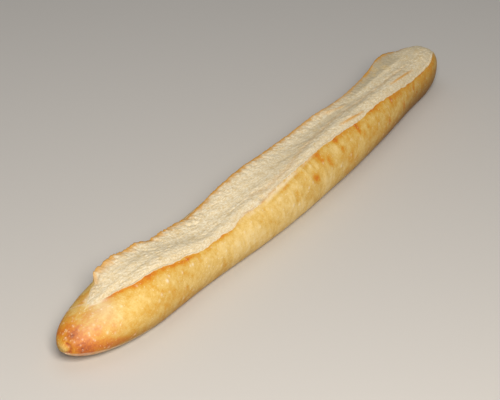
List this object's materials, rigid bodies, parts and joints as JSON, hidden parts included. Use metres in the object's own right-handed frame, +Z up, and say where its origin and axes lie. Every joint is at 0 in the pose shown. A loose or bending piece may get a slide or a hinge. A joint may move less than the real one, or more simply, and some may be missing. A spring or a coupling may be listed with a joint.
{
  "type": "baguette",
  "caption": "Long slim loaf of white bread with a flat base, rounded ends, a golden crust and a torn lengthwise cut along its top with a raised ragged ear.",
  "frame": {"origin": "centre of the bounding box at the level of the flat base", "axes": "+X along the loaf towards its blunt end, -Y the side with the low lip of the cut, +Z up"},
  "size_m": [0.556, 0.0652, 0.0448],
  "materials": {
    "bread": "baked golden crust with a torn pale crumb in the cut, matt to satin"
  },
  "bodies": {
    "root": {"loaf": "bread"}
  },
  "joints": []
}
